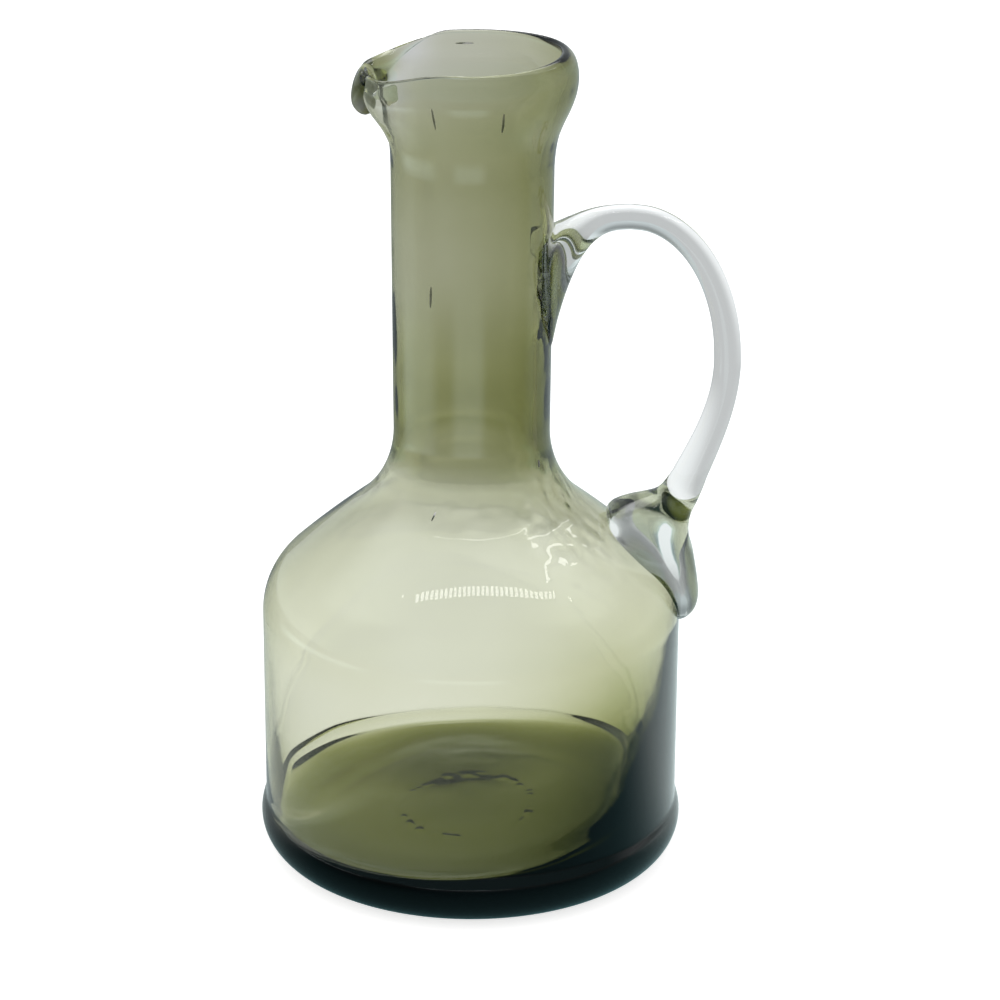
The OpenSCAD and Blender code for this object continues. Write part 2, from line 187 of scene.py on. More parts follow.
def plain_lip(lip, top, widen, drop):
    """Stations of the plain lip for a wall, a height, a widening and a sinking of the rim."""
    height = top - drop
    out = [(neck_top_r + s * (mouth_r - neck_top_r) + widen * smooth((h - widen_from) / widen_over),
            mouth_z + h * height) for s, h in plain_out]
    middle = (out[-2][0] - rim_inset - lip / 2 * math.cos(math.radians(rim_turn)), mouth_z + height - lip / 2)
    rows = out[:-1] + arc(middle, lip / 2, rim_turn, rim_turn + 180, 8)
    for h in plain_in:
        z = mouth_z + h * height
        for (r0, z0), (r1, z1) in zip(out, out[1:]):
            if z0 - 1e-6 <= z <= z1:
                r = mix(r0, r1, (z - z0) / (z1 - z0))
        throat = mix(neck_wall, throat_wall, smooth(h / throat_over))
        rows.append((r - mix(throat, lip, smooth((h - thin_from) / thin_over)), z))
    return rows


# The spout's lip from the neck up, over the air under the curl, round the drop and down the channel
bore_top = (neck_top_r - neck_wall, mouth_z)
spout_lip = [
    (23.4, 212), (23.6, 216.5), (24.1, 220.5), (24.7, 224.2), (25.3, 227.6), (25.9, 230.5), (26.4, 232.8),
    (26.9, 233.9), (27.4, 233), (27.5, 231), (27.8, 228.8), (28.8, 227.1), (30.5, 226.5), (32.4, 227.3),
    (34, 229.4), (34.4, 232), (34, 234.8), (33.1, 237.3), (31.9, 239.2), (30.6, 239.6), (29.2, 238.6),
    (27.7, 236.6), (26.2, 233.6), (24.8, 230), (23.6, 226.3), (22.7, 222.5), (21.9, 218.8), (21.3, 215.4),
    bore_top]
curl_top, curl_low, curl_root_z, curl_gap = 239.6, 226.5, 227.6, 1.9
curl_neck_rows, curl_rows = 5, 22


def folded_lip(share):
    """The spout's lip with its curl shortened from below to this share."""
    low = curl_top - (curl_top - curl_low) * share
    rows = []
    for i, (r, z) in enumerate(spout_lip):
        if i < curl_neck_rows:
            z = mix(mouth_z, low + curl_gap * share, (z - mouth_z) / (curl_root_z - mouth_z))
        elif i < curl_rows and z < curl_top:
            z = curl_top - (curl_top - z) * share
        rows.append((r, z))
    return rows


# Toward the handle the lip swells and turns in again at its rim
swelled_lip = [
    (23.4, 212), (23.73, 216.1), (24.46, 220.4), (25.64, 223.8), (27.03, 226.9), (28.35, 229.9), (29.4, 233),
    (29.93, 236), (30, 238.7), (29.6, 241.3), (28.9, 243.2), (27.9, 244.5), (26.9, 245.3), (26, 245.47),
    (25.2, 245.2), (24.9, 244.5), (25.1, 243.8), (25.7, 243.1), (26.4, 242.2), (27.1, 240.9), (27.6, 239.2),
    (27.8, 237), (27.4, 234.2), (26.6, 231.2), (25.45, 228.2), (24.15, 225), (22.85, 221.4), (21.8, 217.2),
    bore_top]
# Behind the spout the rim rolls outward in a flange, which runs on into the curl
flange_lip = [
    (23.4, 212), (23.6, 216.5), (24, 220.5), (24.5, 223.8), (25, 226.6), (25.6, 228.8), (26.2, 230.5),
    (26.9, 231.8), (27.8, 232.8), (28.8, 233.6), (29.8, 234.2), (30.8, 234.8), (31.7, 235.4), (32.5, 236.1),
    (33, 236.9), (33.2, 237.7), (33, 238.5), (32.4, 239.2), (31.5, 239.7), (30.4, 239.9), (29.3, 239.6),
    (28.5, 238.7), (27.8, 237), (26.9, 234.2), (25.8, 231), (24.6, 227.4), (23.4, 223.4), (22.1, 218.2),
    bore_top]
beak_widen, beak_drop, curl_short = 2.4, 4.4, 0.45
sections = {
    "section_handle": swelled_lip,
    "section_front": plain_lip(lip_wall, mouth_h - rim_low, 0, 0),
    "section_beak": plain_lip(lip_wall, mouth_h - rim_low, beak_widen, beak_drop),
    "section_flange": flange_lip,
    "section_fold": folded_lip(1.0),
    "section_fold_short": folded_lip(curl_short),
}
lips = {name: flow(rows, 3)[1:-1] for name, rows in sections.items()}
low_count, lip_count = len(insides["inside_side"]), len(lips["section_fold"])
stations = len(outside) + lip_count + low_count
chain = bpy.data.meshes.new("body_sections")
chain.from_pydata([(0, 0, 0)] * stations, [(i, i + 1) for i in range(stations - 1)], [])
keys = {name: outside + lip + insides["inside_side"] for name, lip in lips.items()}
keys.update({name: outside + lips["section_front"] + rows for name, rows in insides.items()})
for name, rows in keys.items():
    attribute = chain.attributes.new(name, "FLOAT_VECTOR", "POINT")
    attribute.data.foreach_set("vector", [v * MM for r, z in rows for v in (max(r, 0), 0, z)])
# How far each station belongs to the inside, moves with the bore, lies below the mouth and leans
inside_from, inside_over = 0.5, 0.35
bore_low_z, bore_over_z = 95, 32
lean_low_z, lean_over_z, lean_edge_r, lean_over_r, lean_middle = 15, 14, 58, 14, 1.7
drifts = {"hollow": [], "shift": [], "below": [], "leaning": []}
for i, (r, z) in enumerate(keys["inside_side"]):
    is_low = i >= stations - low_count
    hollow = smooth(((i - len(outside)) / lip_count - inside_from) / inside_over) if i >= len(outside) else 0.0
    drifts["hollow"].append(hollow)
    drifts["shift"].append(hollow * (smooth((z - bore_low_z) / bore_over_z) if is_low else 1.0))
    drifts["below"].append(1.0 if is_low else 0.0)
    drifts["leaning"].append((1 - smooth((z - lean_low_z) / lean_over_z))
                             * mix(1, lean_middle, smooth((lean_edge_r - r) / lean_over_r)) if is_low else 0.0)
for name, values in drifts.items():
    chain.attributes.new(name, "FLOAT", "POINT").data.foreach_set("value", values)
chain_object = bpy.data.objects.new("body_sections", chain)


class Tree:
    """A node tree that is written down step by step."""

    def __init__(self, group):
        self.group = group

    def add(self, kind, *inputs, out=0, **settings):
        node = self.group.nodes.new(kind)
        for key, value in settings.items():
            setattr(node, key, value)
        for socket, value in zip(node.inputs, inputs):
            if isinstance(value, bpy.types.NodeSocket):
                self.group.links.new(value, socket)
            elif value is not None:
                socket.default_value = value
        return node.outputs[out]

    def math(self, operation, *inputs):
        return self.add("ShaderNodeMath", *inputs, operation=operation)

    def product(self, *values):
        """All the values multiplied."""
        whole = values[0]
        for value in values[1:]:
            whole = self.math("MULTIPLY", whole, value)
        return whole

    def ease(self, value, low, high, start=0.0, end=1.0):
        return self.add("ShaderNodeMapRange", value, low, high, start, end, interpolation_type="SMOOTHSTEP")

    def vector(self, operation, *inputs, out=0):
        return self.add("ShaderNodeVectorMath", *inputs, operation=operation, out=out)

    def scaled(self, vector, factor):
        return self.add("ShaderNodeVectorMath", vector, None, None, factor, operation="SCALE")

    def blend(self, share, a, b):
        return self.add("ShaderNodeMix", share, None, None, None, a, b, data_type="VECTOR", out=1)

    def facing(self, angle, turn, power):
        """One at this turn round the axis, and less and less away from it."""
        turned_to = self.math("COSINE", self.math("SUBTRACT", angle, turn))
        return self.math("POWER", self.math("MULTIPLY_ADD", turned_to, 0.5, 0.5), power)

    def around(self, place, middle, reach, most=1.0):
        """The most within the first distance from the middle, fading to nothing at the second."""
        return self.ease(self.vector("DISTANCE", place, middle, out=1), *reach, most, 0.0)

    def grain(self, place, seed, scale, detail, roughness):
        return self.add("ShaderNodeTexNoise", place, seed, scale, detail, roughness, noise_dimensions="4D")

    def sway(self, *grain):
        """A slow random run to both sides of nothing."""
        return self.math("SUBTRACT", self.grain(*grain), 0.5)


def tree_inputs(group, wanted):
    """Adds the named inputs and gives back each one's identifier."""
    named = {}
    for name, (kind, value) in wanted.items():
        socket = group.interface.new_socket(name, in_out="INPUT", socket_type=kind)
        if value is not None:
            socket.default_value = value
        named[name] = socket.identifier
    return named


def turned_grid(tree, given, rounds, sampled):
    """A grid of stations by steps round the axis, with its angle and the named values of its station."""
    count = tree.add("GeometryNodeAttributeDomainSize", given)
    steps = tree.math("ADD", rounds, 1)
    grid = tree.add("GeometryNodeMeshGrid", 1.0, 1.0, count, steps)
    index = tree.add("GeometryNodeInputIndex")
    station = tree.math("FLOOR", tree.math("DIVIDE", tree.math("ADD", index, 0.5), steps))
    step = tree.math("SUBTRACT", index, tree.math("MULTIPLY", station, steps))
    angle = tree.math("MULTIPLY", tree.math("DIVIDE", step, rounds), math.tau)
    values = {}
    for name, kind in sampled.items():
        named = tree.add("GeometryNodeInputNamedAttribute", name, data_type=kind)
        values[name] = tree.add("GeometryNodeSampleIndex", given, named, station, data_type=kind)
    return grid, angle, values


def made_plain(maker, name):
    """The modifiers' result as a plain mesh object at the world's origin, and the maker removed."""
    bpy.context.collection.objects.link(maker)
    graph = bpy.context.evaluated_depsgraph_get()
    graph.update()
    mesh = bpy.data.meshes.new_from_object(maker.evaluated_get(graph))
    bpy.data.objects.remove(maker)
    mesh.name = name
    piece = bpy.data.objects.new(name, mesh)
    bpy.context.collection.objects.link(piece)
    return piece


def coloured_glass(name, colour, density):
    """Polished glass, whose colour lies in its depth and deepens with the wall."""
    material = bpy.data.materials.new(name)
    material.use_nodes = True
    nodes = material.node_tree.nodes
    skin = nodes["Principled BSDF"]
    skin.inputs["Base Color"].default_value = (1, 1, 1, 1)
    skin.inputs["Roughness"].default_value = 0.0
    skin.inputs["IOR"].default_value = 1.5
    skin.inputs["Transmission Weight"].default_value = 1.0
    depth = nodes.new("ShaderNodeVolumeAbsorption")
    depth.inputs["Color"].default_value = colour
    depth.inputs["Density"].default_value = density
    material.node_tree.links.new(depth.outputs["Volume"], nodes["Material Output"].inputs["Volume"])
    return material


smoke_glass = coloured_glass("smoke_glass", (0.45, 0.473, 0.05, 1), 300.0)
blowing = bpy.data.node_groups.new("blown_body", "GeometryNodeTree")
blowing.interface.new_socket("Geometry", in_out="INPUT", socket_type="NodeSocketGeometry")
body_sockets = tree_inputs(blowing, {
    "Steps Round": ("NodeSocketInt", 192),
    "Bore Shift": ("NodeSocketFloat", 0.75 * MM),
    "Heavy Turn": ("NodeSocketFloat", math.radians(-8)),
    "Floor Lean": ("NodeSocketFloat", 0.034),
    "Heap": ("NodeSocketFloat", 3.4 * MM),
    "Dent": ("NodeSocketFloat", 2.6 * MM),
    "Cords": ("NodeSocketFloat", 0.34 * MM),
    "Crinkles": ("NodeSocketFloat", 2.0 * MM),
    "Waves": ("NodeSocketFloat", 0.05 * MM),
    "Ripples": ("NodeSocketFloat", 1.2 * MM),
    "Scar Depth": ("NodeSocketFloat", 0.6 * MM),
    "Seed": ("NodeSocketFloat", 3.0),
    "Glass": ("NodeSocketMaterial", None),
})
blowing.interface.new_socket("Geometry", in_out="OUTPUT", socket_type="NodeSocketGeometry")
t = Tree(blowing)
given = blowing.nodes.new("NodeGroupInput").outputs
seed = given["Seed"]
grid, angle, at = turned_grid(t, given["Geometry"], given["Steps Round"], {
    **{name: "FLOAT_VECTOR" for name in keys}, **{name: "FLOAT" for name in drifts}})
cosine, sine = t.math("COSINE", angle), t.math("SINE", angle)

# The mouth round the axis: handle at no turn, spout at half a turn, each lip blended into the next
handle_power, flange_sines = 3.5, (-0.1, 0.35)
beak_turns, fold_turns = (math.radians(26), math.radians(76)), (math.radians(4), math.radians(20))
tip_turn, tip_power, tip_most = math.radians(21), 2.0, 1.15
from_spout = t.math("ABSOLUTE", t.math("SUBTRACT", angle, math.pi))
sides = t.blend(t.facing(angle, 0.0, handle_power), at["section_front"], at["section_handle"])
beside_spout = t.blend(t.ease(sine, *flange_sines), at["section_beak"], at["section_flange"])
beaked = t.blend(t.ease(from_spout, *beak_turns, 1.0, 0.0), sides, beside_spout)
off_tip = t.math("MINIMUM", t.math("POWER", t.math("DIVIDE", from_spout, tip_turn), tip_power), tip_most)
shorter = t.vector("SUBTRACT", at["section_fold_short"], at["section_fold"])
fold = t.vector("ADD", at["section_fold"], t.scaled(shorter, off_tip))
mouth = t.blend(t.ease(from_spout, *fold_turns, 1.0, 0.0), beaked, fold)

# The barrel's inside round the axis, and its floor, which leans and carries a heap and a dent
heavy_power, spout_side, spout_power, lean_side = 4.0, 2.98, 80.0, math.radians(20)
floor_heights, floor_radii = metres(18, 24), metres(57, 61.2)
heap_at, heap_reach = metres(-4, 33, 0), metres(4, 36)
dent_at, dent_reach = metres(-59, 9, 0), metres(4, 31)
to_heavy = t.facing(angle, given["Heavy Turn"], heavy_power)
to_spout = t.facing(angle, spout_side, spout_power)
low = t.blend(to_spout, t.blend(to_heavy, at["inside_side"], at["inside_handle"]), at["inside_spout"])
radius = t.add("ShaderNodeSeparateXYZ", t.blend(at["below"], mouth, low))
height = radius.node.outputs["Z"]
toward_lean = t.math("SINE", t.math("SUBTRACT", angle, lean_side))
lean = t.product(radius, toward_lean, given["Floor Lean"], at["leaning"])
level = t.add("ShaderNodeCombineXYZ", t.product(radius, cosine), t.product(radius, sine))
on_floor = t.product(at["below"], t.ease(height, *floor_heights, 1.0, 0.0),
                     t.ease(radius, *floor_radii, 1.0, 0.0))
heap = t.product(t.around(level, heap_at, heap_reach), given["Heap"])
dent = t.product(t.around(level, dent_at, dent_reach), given["Dent"])
relief = t.product(t.math("SUBTRACT", heap, dent), on_floor)
rise = t.math("ADD", t.math("SUBTRACT", height, lean), relief)
centred = t.vector("ADD", level, t.add("ShaderNodeCombineXYZ", 0.0, 0.0, rise))
bore_shift = t.add("ShaderNodeCombineXYZ", t.product(given["Bore Shift"], at["shift"]), 0.0, 0.0)
plain = t.vector("SUBTRACT", centred, bore_shift)

# Waves all over and cords, the soft upright ribs in the wall from the drawing out of the neck. Little
# of the waves shows outside, and the axis stays still
outer_share, cord_round, cord_up = 0.08, 2.6, 9.0
still_radii = metres(4, 12)
wave = t.sway(plain, seed, 38.0, 1.5, 0.45)
cord_place = t.add("ShaderNodeCombineXYZ", t.product(cosine, cord_round), t.product(sine, cord_round),
                   t.product(height, cord_up))
cord = t.sway(cord_place, seed, 1.0, 1.0, 0.5)
wave_run = t.product(wave, given["Waves"], t.math("MULTIPLY_ADD", at["hollow"], 1 - outer_share, outer_share))
cord_run = t.product(cord, given["Cords"], at["hollow"])
# Crinkles: skin that the hot handle puckered, on the shoulder before the pad, on the fillet and
# behind the upper root. The last two places are long, so they are measured in a squeezed space
crinkle = t.sway(t.vector("MULTIPLY", plain, (1.0, 1.0, 1.4)), seed, 150.0, 1.5, 0.5)
by_pad = t.around(plain, metres(31, -22, 111), metres(10, 28), 1.2)
by_fillet = t.around(t.vector("MULTIPLY", plain, (0.5, 1.0, 1.0)), metres(-1, -31, 117), metres(3, 9), 0.6)
by_root = t.around(t.vector("MULTIPLY", plain, (1.0, 1.0, 0.5)), metres(21.5, -6, 87.5), metres(6, 14))
puckered = t.math("MAXIMUM", t.math("MAXIMUM", by_pad, by_fillet), t.product(by_root, at["hollow"]))
crinkle_run = t.product(crinkle, given["Crinkles"], puckered)
run = t.product(t.math("ADD", crinkle_run, t.math("ADD", wave_run, cord_run)), t.ease(radius, *still_radii))
wavy = t.vector("ADD", plain, t.scaled(t.add("ShaderNodeCombineXYZ", cosine, sine, 0.0), run))
# Ripples in the floor's middle, and under the foot the chipped ring where the iron was broken off
ripple = t.sway(t.vector("MULTIPLY", plain, (70.0, 190.0, 0.0)), seed, 1.0, 2.5, 0.6)
in_middle = t.around(plain, metres(6, 32, 14.5), metres(5, 26), 0.8)
scar_r, scar_edge, under_heights, chip_levels = 20.5 * MM, metres(0.4, 1.8), metres(4, 6), (0.52, 0.62)
chip = t.ease(t.grain(plain, seed, 190.0, 2.0, 0.6), *chip_levels)
ring = t.ease(t.math("ABSOLUTE", t.math("SUBTRACT", radius, scar_r)), *scar_edge, 1.0, 0.0)
under = t.product(ring, t.ease(height, *under_heights, 1.0, 0.0))
lift = t.math("ADD", t.product(ripple, given["Ripples"], in_middle, at["below"]),
              t.product(chip, given["Scar Depth"], under))
placed = t.add("GeometryNodeSetPosition", grid, True,
               t.vector("ADD", wavy, t.add("ShaderNodeCombineXYZ", 0.0, 0.0, lift)))
closed = t.add("GeometryNodeMergeByDistance", placed, True, 0.004 * MM)
shaded = t.add("GeometryNodeSetShadeSmooth", closed, True, True)
whole = t.add("GeometryNodeFlipFaces", t.add("GeometryNodeRealizeInstances", shaded))
dressed = t.add("GeometryNodeSetMaterial", whole, True, given["Glass"])
blowing.links.new(dressed, blowing.nodes.new("NodeGroupOutput").inputs[0])
blow = chain_object.modifiers.new("blow", "NODES")
blow.node_group = blowing
blow[body_sockets["Glass"]] = smoke_glass
carafe_body = made_plain(chain_object, "carafe_body")

# Seeds: slivers of air drawn out in the wall, and the hollow of the rolled lip, which is finer and
# uneven. Each has its middle, its half sizes and its lean in degrees
seeds = [((-11.3, -18.7, 178.3), (0.34, 0.34, 3.2), 2), ((-10.4, -24.2, 231.6), (0.3, 0.3, 2.9), -12),
         ((8.4, -24.9, 230.8), (0.34, 0.34, 2.7), 6), ((-2.7, 28.2, 240.4), (0.26, 0.26, 2.7), 90),
         ((-10.6, -26.5, 114.6), (0.25, 0.25, 1.6), 20), ((19.3, -12.5, 125.9), (0.4, 0.4, 1.2), 0),
         ((-31, 0.3, 232), (2.5, 5, 4.3), 10)]
seed_sides, seed_rings, wide_seed, wide_finer = 16, 12, 1, 3
uneven, uneven_scale, uneven_seed = 0.35 * MM, 380, 3
noise.seed_set(uneven_seed)
bubbled = bmesh.new()
bubbled.from_mesh(carafe_body.data)
for middle, halves, lean_turn in seeds:
    about = Matrix.Translation(metres(*middle)) @ Matrix.Rotation(math.radians(lean_turn), 4, "Y")
    finer = wide_finer if halves[1] > wide_seed else 1
    made = bmesh.ops.create_uvsphere(bubbled, u_segments=seed_sides * finer, v_segments=seed_rings * finer,
                                     radius=MM, matrix=about @ Matrix.Diagonal((*halves, 1)))
    if finer > 1:
        for vert in made["verts"]:
            vert.co += noise.noise_vector(vert.co * uneven_scale) * uneven
    faces = {face for vert in made["verts"] for face in vert.link_faces}
    bmesh.ops.reverse_faces(bubbled, faces=list(faces))
    for face in faces:
        face.smooth = True
bubbled.to_mesh(carafe_body.data)
bubbled.free()
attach(carafe_body, "root")
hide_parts("glass_body")

# ---- Drawn handle
# A gather of clear glass, pressed on the shoulder, drawn up into a loop and pressed on the neck. Its
# section is an oval that swells at both ends, and it is fused to the smoke glass where they meet.
rod_top_t, rod_side_t, rod_low_t, rod_flatness = 7.3, 7.9, 10.4, 1.12
loop_side_x, loop_side_z = barrel_r + 16.18 - rod_side_t / 2, 153.6
loop_top_x, loop_top_z = 46.1, 200.4 - rod_top_t / 2
upper_z, upper_h, upper_w, lower_w = 175.0, 36.0, 25.0, 27.0
upper_egg, upper_soft, upper_power, upper_rise = 0.5, 0.7, 3.3, 3
upper_bite, upper_end = 0.3, 3


def turned(x, z, half, wide, turn, egg=0.0, soft=1.0):
    """A section of the rod: centre, half thickness, half width, direction of the thickness, egg, roundness."""
    return (x, z, half, wide, turn, egg, soft)


def upper_root(t):
    fade = (1 - t) ** upper_power
    x = mix(neck_low_r - upper_bite, loop_top_x, t)
    z = mix(upper_z, loop_top_z, 1 - (1 - t) ** upper_rise)
    wide = mix(rod_flatness * rod_top_t / 2, upper_w / 2, fade)
    return turned(x, z, mix(rod_top_t / 2, upper_h / 2, fade), wide, 90,
                  upper_egg * fade, mix(1, upper_soft, fade))


def loop_quarter(turn):
    c, s = math.cos(math.radians(turn)), math.sin(math.radians(turn))
    half = mix(rod_side_t, rod_top_t, s) / 2
    across, up = loop_side_x - loop_top_x, loop_top_z - loop_side_z
    return turned(loop_top_x + across * c, loop_side_z + up * s, half, rod_flatness * half,
                  math.degrees(math.atan2(across * s, up * c)))


# Lower pad: outer and inner end of each section from the shoulder's centre, and its half width, in
# shares of the shoulder's radius and of the pad's half width
lower_pad = [
    (1.29, 1.8, 0.81, 1.94, 0.43), (1.21, 1.6, 0.66, 1.75, 0.47), (1.14, 1.46, 0.45, 1.66, 0.57),
    (1.105, 1.33, 0.2, 1.58, 0.7), (1.1, 1.2, -0.02, 1.44, 0.83), (1.12, 1.05, 0, 1.18, 0.94),
    (1.17, 0.87, 0.1, 0.92, 1), (1.21, 0.66, 0.24, 0.62, 1), (1.24, 0.47, 0.38, 0.38, 0.95),
    (1.256, 0.3, 0.52, 0.2, 0.86), (1.235, 0.14, 0.62, 0.06, 0.72), (1.17, 0.01, 0.7, -0.03, 0.55),
    (1.09, -0.08, 0.8, -0.1, 0.36), (1.015, -0.13, 0.9, -0.14, 0.15)]
lower_soft, boxy_from, boxy_over = 0.62, 1.8, 0.6


def pad_section(outer_x, outer_z, inner_x, inner_z, wide):
    dx, dz = shoulder_r * (outer_x - inner_x), shoulder_r * (outer_z - inner_z)
    return turned(shoulder_c[0] + shoulder_r * (outer_x + inner_x) / 2,
                  shoulder_c[1] + shoulder_r * (outer_z + inner_z) / 2,
                  math.hypot(dx, dz) / 2, wide * lower_w / 2, math.degrees(math.atan2(dz, dx)),
                  soft=mix(1, lower_soft, smooth((boxy_from - outer_z) / boxy_over)))


# The rod's pull from the loop's side down into the pad, held by four points
entry_x, entry_z, _, _, entry_turn, _, _ = pad_section(*lower_pad[0])
entry_turn = math.radians(entry_turn - 8)
pull = 0.36 * (loop_side_z - entry_z)
pulls = [(loop_side_x, loop_side_z), (loop_side_x, loop_side_z - pull),
         (entry_x - pull * math.sin(entry_turn), entry_z + pull * math.cos(entry_turn)), (entry_x, entry_z)]


def loop_low(t):
    weights = [(1 - t) ** 3, 3 * t * (1 - t) ** 2, 3 * t * t * (1 - t), t ** 3]
    slopes = [(1 - t) ** 2, 2 * t * (1 - t), t * t]
    x, z = (sum(w * p[k] for w, p in zip(weights, pulls)) for k in (0, 1))
    dx, dz = (sum(w * (q[k] - p[k]) for w, p, q in zip(slopes, pulls, pulls[1:])) for k in (0, 1))
    half = mix(rod_side_t, rod_low_t, t * t) / 2
    return turned(x, z, half, rod_flatness * half, math.degrees(math.atan2(dx, -dz)))


def ringed(name, points, sides):
    """A closed body from rings of points, with as many points in each."""
    rings = len(points) // sides
    faces = [(j * sides + k, j * sides + n, (j + 1) * sides + n, (j + 1) * sides + k)
             for j in range(rings - 1) for k, n in ((k, (k + 1) % sides) for k in range(sides))]
    faces += [tuple(reversed(range(sides))), tuple(range((rings - 1) * sides, rings * sides))]
    mesh = bpy.data.meshes.new(name)
    mesh.from_pydata(points, [], faces)
    return bpy.data.objects.new(name, mesh)


rod_stations = [turned(neck_low_r - upper_end, upper_z, upper_h / 2, upper_w / 2, 90, upper_egg, upper_soft)]
rod_stations += [upper_root(i / 11) for i in range(11)]
rod_stations += [loop_quarter(90 - i * 10) for i in range(9)]
rod_stations += [loop_low(i / 11) for i in range(11)]
rod_stations += [pad_section(*rows) for rows in lower_pad]
rod_sides = 64
rod_points = []
for x, z, half, wide, turn, egg, soft in flow(rod_stations, 3):
    for k in range(rod_sides):
        a = math.tau * k / rod_sides
        su, cu = (math.copysign(abs(v) ** soft, v) for v in (math.sin(a), math.cos(a)))
        u, w = half * su, wide * cu * (1 + egg * su)
        c, s = math.cos(math.radians(turn)), math.sin(math.radians(turn))
        rod_points.append(((x + u * c) * MM, w * MM, (z + u * s) * MM))
rod = ringed("rod", rod_points, rod_sides)
drawn = bmesh.new()
drawn.from_mesh(rod.data)
bmesh.ops.recalc_face_normals(drawn, faces=drawn.faces)
drawn.to_mesh(rod.data)
drawn.free()

# The body's outside, a hair smaller, cuts the gather, so that both glasses are one at the pads
press_sides, press_inset, press_low_z = 192, 0.15, 20
press_points = []
for r, z in outside:
    for a in (math.tau * k / press_sides for k in range(press_sides) if z > press_low_z):
        press_points.append(metres((r - press_inset) * math.cos(a), (r - press_inset) * math.sin(a), z))
press = ringed("press", press_points, press_sides)
bpy.context.collection.objects.link(press)
cut = rod.modifiers.new("press", "BOOLEAN")
cut.operation, cut.solver, cut.object = "DIFFERENCE", "EXACT", press
carafe_handle = made_plain(rod, "carafe_handle")
bpy.data.objects.remove(press)
for face in carafe_handle.data.polygons:
    face.use_smooth = True
carafe_handle.data.set_sharp_from_angle(angle=math.radians(50))
carafe_handle.data.materials.clear()
carafe_handle.data.materials.append(coloured_glass("clear_glass", (0.1, 0.3, 0.22, 1), 8.0))
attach(carafe_handle, "root")
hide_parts("glass_handle")

# ---- Studio
# A white table in a white room, soft light from above, and the camera at the photograph's place. What
# the glass mirrors or lets through is a room of its own: pale lanes, a dark front and a slatted lamp.
table_half, table_drop = 3.0, 0.4 * MM
table_mesh = bpy.data.meshes.new("table")
table_corners = [(x * table_half, y * table_half, -table_drop) for x, y in ((-1, -1), (1, -1), (1, 1), (-1, 1))]
table_mesh.from_pydata(table_corners, [], [(0, 1, 2, 3)])
table = bpy.data.objects.new("table", table_mesh)
bpy.context.collection.objects.link(table)
white = bpy.data.materials.new("table_white")
white.use_nodes = True
white.node_tree.nodes.clear()
w = Tree(white.node_tree)
rays = w.add("ShaderNodeLightPath").node.outputs
place = w.add("ShaderNodeTexCoord", out=3)
away = w.vector("LENGTH", place, out=1)
across = w.add("ShaderNodeSeparateXYZ", place)
behind = across.node.outputs["Y"]
cloth = w.add("ShaderNodeBsdfDiffuse", (0.8, 0.8, 0.8, 1))
table_glow = 0.72
to_camera = w.add("ShaderNodeAddShader", cloth, w.add("ShaderNodeEmission", (1, 1, 1, 1), table_glow))
# Seen through the glass, the table glows with painted light round the foot and has painted shade far out and in
# front
through_near_glow, through_far_shade, through_front_shade = 1.08, 0.61, 0.6
through = w.add("ShaderNodeEmission", (0.97, 0.99, 1, 1), w.product(
    w.ease(away, 0.14, 0.44, through_near_glow, through_far_shade), w.ease(behind, -0.4, -0.1, through_front_shade, 1.0)))
# What the outer skin mirrors is painted on the white table: painted shade before the foot, two bright lanes of
# painted light, and painted grey shade on the rest
# Painted shade before the foot, seen only in the glass's reflection
before = w.product(w.ease(away, 0.14, 0.34, 1.0, 0.0), w.ease(behind, -0.05, 0.03, 1.0, 0.0))
round_foot = w.math("ARCTAN2", across, w.product(behind, -1.0))


def lane(middle, wide):
    """A lane of painted light that leads away from the foot at this turn, this many radians to each side."""
    off = w.math("ABSOLUTE", w.math("SUBTRACT", round_foot, middle))
    return w.ease(off, wide * 0.6, wide * 1.4, 1.0, 0.0)


# Two lanes of painted light on the table, seen only in the glass's reflection
painted_lane_level = 1.2
painted_lanes = w.product(w.math("MAXIMUM", lane(-0.07, 0.36), lane(-1.45, 0.5)),
                  w.product(w.ease(away, 0.28, 0.42), w.ease(away, 0.46, 0.62, 1.0, 0.0)))
# Painted grey shade on the rest of the table, darker in front, to the left and far out
painted_table_shade = w.product(w.ease(behind, -0.12, 0.05, 0.28, 0.95), w.ease(across, -0.1, 0.02, 0.5, 1.0),
                 w.ease(away, 0.14, 0.34, 1.0, 0.6))
mirrored = w.add("ShaderNodeEmission", w.add(
    "ShaderNodeMix", before, None, None, None, None, None, (0.85, 1, 1, 1), (0.2, 0.42, 0.45, 1),
    data_type="RGBA", out=2), w.math("ADD", w.product(painted_lanes, painted_lane_level), painted_table_shade))
plain_table = w.add("ShaderNodeMixShader", rays["Is Camera Ray"], cloth, to_camera)
mirrored_table = w.add("ShaderNodeMixShader", rays["Is Glossy Ray"], plain_table, mirrored)
white.node_tree.links.new(w.add("ShaderNodeMixShader", rays["Is Transmission Ray"], mirrored_table, through),
                          white.node_tree.nodes.new("ShaderNodeOutputMaterial").inputs["Surface"])
table_mesh.materials.append(white)

# The room: white to the camera and a plain level to dull things. The glass has its own: deep above
# and behind, night in front, and a paler left where the glass is looked through
room = bpy.data.worlds.new("surround")
bpy.context.scene.world = room
room.use_nodes = True
room.node_tree.nodes.clear()
r = Tree(room.node_tree)
rays = r.add("ShaderNodeLightPath").node.outputs
aside = r.add("ShaderNodeSeparateXYZ", r.add("ShaderNodeTexCoord", out=0))
ahead, up = aside.node.outputs["Y"], aside.node.outputs["Z"]
pale = (0.9, 0.98, 1, 1)
room_level, pale_left_level, window_level = 0.85, 0.4, 1.8
deep = r.add("ShaderNodeBackground", pale, r.math(
    "ADD", r.ease(up, 0.02, 0.35, 0.64, 0.34), r.ease(up, 0.5, 0.8, 0.0, 0.7)))
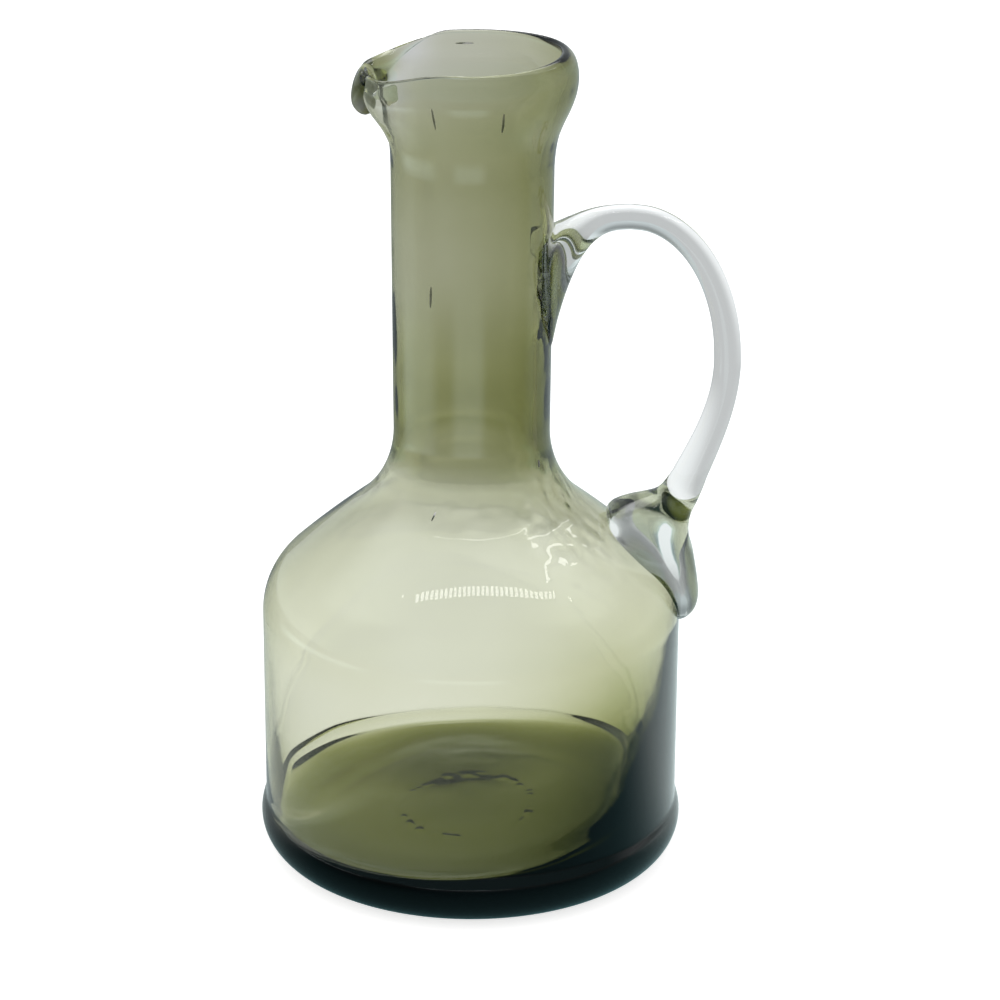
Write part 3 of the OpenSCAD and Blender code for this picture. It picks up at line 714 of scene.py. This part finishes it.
# A bright window high behind, which only rims and the rod's back mirror
window = r.add("ShaderNodeBackground", (1, 1, 1, 1), r.product(
    r.product(r.ease(up, 0.44, 0.56), r.product(
        r.ease(ahead, 0.2, 0.34), r.ease(r.math("ABSOLUTE", aside), 0.25, 0.5, 1.0, 0.0))), window_level))
night = r.add("ShaderNodeBackground", (0.55, 0.95, 1, 1), 0.22)
mirrored_room = r.add("ShaderNodeAddShader", window, r.add(
    "ShaderNodeMixShader", r.ease(ahead, -0.25, 0.15, 1.0, 0.0), deep, night))
pale_left = r.add("ShaderNodeAddShader", deep, r.add(
    "ShaderNodeBackground", pale, r.ease(aside, -0.35, -0.7, 0.0, pale_left_level)))
dark_front = r.add("ShaderNodeBackground", (0.6, 0.9, 1, 1), 0.06)
through_room = r.add("ShaderNodeMixShader", r.ease(ahead, -0.3, -0.05, 1.0, 0.0), pale_left, dark_front)
glass_room = r.add("ShaderNodeMixShader", rays["Is Transmission Ray"], mirrored_room, through_room)
dull_room = r.add("ShaderNodeBackground", (1, 1, 1, 1), room_level)
white_room = r.add("ShaderNodeBackground", (1, 1, 1, 1), 1.0)
by_glass = r.math("MAXIMUM", rays["Is Glossy Ray"], rays["Is Transmission Ray"])
unseen = r.add("ShaderNodeMixShader", by_glass, dull_room, glass_room)
room.node_tree.links.new(r.add("ShaderNodeMixShader", rays["Is Camera Ray"], unseen, white_room),
                         room.node_tree.nodes.new("ShaderNodeOutputWorld").inputs["Surface"])

# A long slatted strip light overhead, which draws the toothed arc on the shoulder
strip_z, strip_half, slat_share = 1.1, 0.014, 0.6
end_lamp_long, end_lamp_half, side_half = 0.012, 0.006, 0.05
slats, slat_faces = [], []


def lamp(start, end, half):
    """One short lamp of the strip, between two places of its middle line."""
    for (x, y), edge in ((start, -half), (end, -half), (end, half), (start, half)):
        slats.append((x, y + edge, strip_z))
    slat_faces.append(tuple(range(len(slats) - 1, len(slats) - 5, -1)))


bow = flow([(-0.431, -0.214), (-0.243, -0.264), (-0.062, -0.284), (0.119, -0.275), (0.309, -0.234),
            (0.508, -0.155), (0.694, -0.05)], 5)
for start, end in zip(bow, bow[1:]):
    lamp(start, (mix(start[0], end[0], slat_share), mix(start[1], end[1], slat_share)), strip_half)
for x, y in ((-0.548, -0.15), (0.8, 0.035)):
    lamp((x, y), (x + end_lamp_long, y), end_lamp_half)
# A thin lamp at the side, which the puckered skin before the pad breaks into squiggles
side = flow([(0.6, 0.0), (0.78, 0.22), (0.98, 0.56), (1.12, 0.86)], 3)
for start, end in zip(side, side[1:]):
    lamp(start, end, side_half)
strip_mesh = bpy.data.meshes.new("strip_light")
strip_mesh.from_pydata(slats, [], slat_faces)
strip = bpy.data.objects.new("strip_light", strip_mesh)
bpy.context.collection.objects.link(strip)
strip.visible_camera = strip.visible_diffuse = strip.visible_shadow = False
# It shines only in the first mirror, so it draws no second images inside the glass
strip_level, first_mirror = 6.0, 1.5
strip_glow = bpy.data.materials.new("strip_glow")
strip_glow.use_nodes = True
strip_glow.node_tree.nodes.clear()
g = Tree(strip_glow.node_tree)
once = g.math("LESS_THAN", g.add("ShaderNodeLightPath").node.outputs["Ray Depth"], first_mirror)
strip_glow.node_tree.links.new(g.add("ShaderNodeEmission", (1, 1, 1, 1), g.product(once, strip_level)),
                               strip_glow.node_tree.nodes.new("ShaderNodeOutputMaterial").inputs["Surface"])
strip_mesh.materials.append(strip_glow)

camera_place, camera_tilt, camera_roll = (0.0084, -0.960, 0.476), 69.12, 0.36
camera = bpy.data.cameras.new("camera")
camera.lens, camera.sensor_width = 125.4, 36.0
camera_object = bpy.data.objects.new("camera", camera)
bpy.context.collection.objects.link(camera_object)
camera_object.matrix_world = (Matrix.Translation(camera_place)
                              @ Matrix.Rotation(math.radians(camera_tilt), 4, "X")
                              @ Matrix.Rotation(math.radians(camera_roll), 4, "Z"))
scene = bpy.context.scene
scene.camera = camera_object
# Light passes many walls of glass before it is out again
scene.cycles.max_bounces = 28
scene.cycles.transmission_bounces = 28
scene.cycles.glossy_bounces = 16
scene.cycles.transparent_max_bounces = 16
scene.view_settings.view_transform = "Standard"
